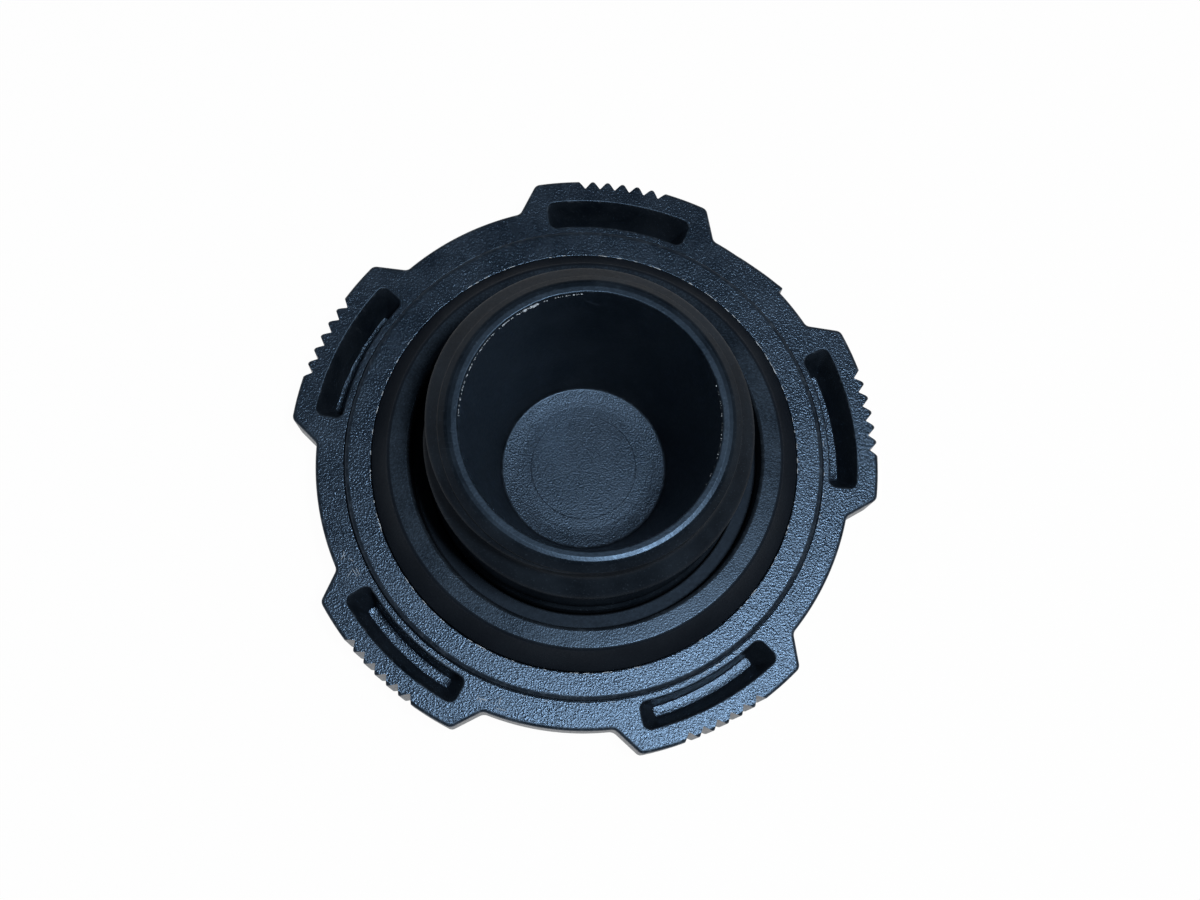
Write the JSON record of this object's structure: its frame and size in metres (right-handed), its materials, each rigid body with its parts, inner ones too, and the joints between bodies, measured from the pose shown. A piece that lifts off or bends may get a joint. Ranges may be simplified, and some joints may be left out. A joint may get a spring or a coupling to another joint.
{
  "type": "oil filler cap",
  "caption": "Screw-in engine oil filler cap: lobed hand-grip flange with notched lugs and core pockets, hollow threaded neck and a rubber seal ring.",
  "frame": {"origin": "on the neck's axis, in the plane of the closed outer face that the cap lies on", "axes": "+Z from the closed outer face towards the neck's open end; +Y through the middle of one lug"},
  "size_m": [0.0856, 0.0832, 0.0361],
  "materials": {
    "cap_plastic": "black glass-filled nylon, spark-eroded flange faces, smooth neck and cup",
    "seal_rubber": "smooth black moulded rubber with a pale bloom"
  },
  "bodies": {
    "root": {"cap_body": "cap_plastic", "seal_ring": "seal_rubber"}
  },
  "joints": []
}
